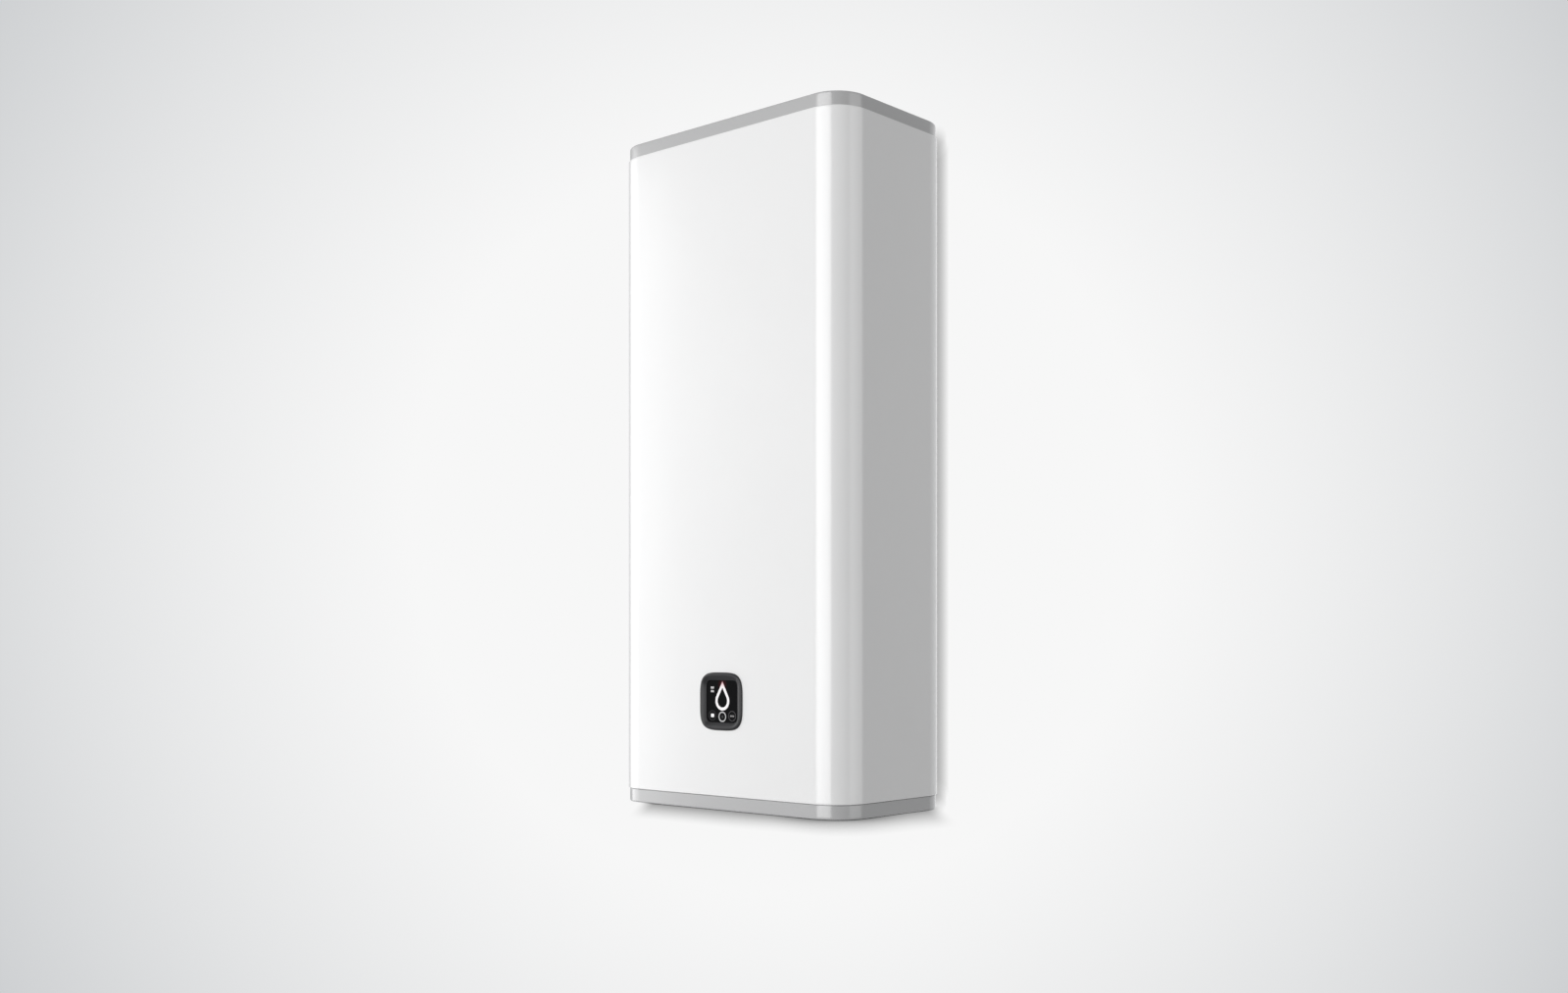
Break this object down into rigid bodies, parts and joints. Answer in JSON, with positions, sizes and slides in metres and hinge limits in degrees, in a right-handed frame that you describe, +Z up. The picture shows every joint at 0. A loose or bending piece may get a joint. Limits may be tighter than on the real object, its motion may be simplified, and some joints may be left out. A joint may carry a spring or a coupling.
{
  "type": "electric water heater",
  "caption": "Flat wall-hung electric storage water heater: twin upright tanks in a white steel case with grey end caps and a small black touch panel low on the front.",
  "frame": {"origin": "middle of the upper wall bracket's back face, on the wall", "axes": "+X to the right as seen from the front, +Y into the wall, +Z up"},
  "size_m": [0.49, 0.2933, 1.09],
  "materials": {
    "white_steel": "satin powder coat",
    "galvanised": "galvanised sheet",
    "cap_grey": "pale grey moulded plastic",
    "black_plastic": "black moulded plastic",
    "bezel_grey": "dark grey satin plastic",
    "gloss_black": "black high gloss",
    "button_black": "black gloss",
    "light_guide": "white diffusing light guide",
    "silver_trim": "silver paint",
    "white_plastic": "white moulded plastic",
    "blue_plastic": "blue moulded plastic",
    "red_plastic": "red moulded plastic",
    "enamel": "blue vitreous enamel on steel",
    "foam": "rigid polyurethane foam",
    "pipe_steel": "plain steel tube",
    "laminate": "green board laminate",
    "cable": "grey cable sheath",
    "gasket_rubber": "black rubber",
    "flange_steel": "enamelled steel plate",
    "element_sheath": "alloy heating sheath",
    "anode_metal": "cast magnesium",
    "zinc_steel": "zinc plated"
  },
  "bodies": {
    "case": {"jacket_wrap": "white_steel", "rear_panel": "galvanised", "top_cap": "cap_grey", "bottom_cap": "cap_grey", "service_cover": "cap_grey", "service_screw_left": "zinc_steel", "service_screw_right": "zinc_steel", "insulation_foam": "foam", "left_tank": "enamel", "right_tank": "enamel", "transfer_pipe": "pipe_steel", "transfer_dip_tube": "white_plastic", "cold_inlet_pipe": "pipe_steel", "cold_inlet_ring": "blue_plastic", "cold_inlet_diffuser": "white_plastic", "hot_outlet_pipe": "pipe_steel", "hot_outlet_ring": "red_plastic", "upper_wall_bracket": "galvanised", "lower_wall_bracket": "galvanised", "upper_bolt_left": "zinc_steel", "upper_bolt_right": "zinc_steel", "lower_bolt_left": "zinc_steel", "lower_bolt_right": "zinc_steel", "safety_cutout": "black_plastic", "terminal_block": "white_plastic", "power_board_tray": "white_plastic", "power_board": "laminate", "cable_gland": "black_plastic", "panel_bezel": "bezel_grey", "panel_window": "gloss_black", "drop_light_guide": "light_guide", "indicator_light_guide": "light_guide", "display_board": "laminate", "panel_housing": "black_plastic", "display_lead": "cable", "left_flange_gasket": "gasket_rubber", "left_flange_plate": "flange_steel", "left_heating_element": "element_sheath", "left_anode": "anode_metal", "left_sensor_tube": "pipe_steel", "left_wiring_loom": "cable", "left_flange_bolt_1": "zinc_steel", "left_flange_bolt_2": "zinc_steel", "left_flange_bolt_3": "zinc_steel", "left_flange_bolt_4": "zinc_steel", "right_flange_gasket": "gasket_rubber", "right_flange_plate": "flange_steel", "right_heating_element": "element_sheath", "right_anode": "anode_metal", "right_sensor_tube": "pipe_steel", "right_wiring_loom": "cable", "right_flange_bolt_1": "zinc_steel", "right_flange_bolt_2": "zinc_steel", "right_flange_bolt_3": "zinc_steel", "right_flange_bolt_4": "zinc_steel"},
    "left_button": {"left_button": "button_black"},
    "centre_button": {"centre_button": "button_black", "centre_button_ring": "silver_trim"},
    "right_button": {"right_button": "button_black"},
    "reset_button": {"reset_button": "red_plastic"}
  },
  "joints": [
    {"name": "left_button_press", "type": "slide", "parent": "case", "child": "left_button", "axis": [0, 1, 0], "range_m": [0, 0.0008], "stiffness_N_per_m": 2000, "springref_m": -0.0004},
    {"name": "centre_button_press", "type": "slide", "parent": "case", "child": "centre_button", "axis": [0, 1, 0], "range_m": [0, 0.0008], "stiffness_N_per_m": 2000, "springref_m": -0.0004},
    {"name": "right_button_press", "type": "slide", "parent": "case", "child": "right_button", "axis": [0, 1, 0], "range_m": [0, 0.0008], "stiffness_N_per_m": 2000, "springref_m": -0.0004},
    {"name": "reset_press", "type": "slide", "parent": "case", "child": "reset_button", "axis": [0, 1, 0], "range_m": [0, 0.002], "stiffness_N_per_m": 1500, "springref_m": -0.0005}
  ]
}
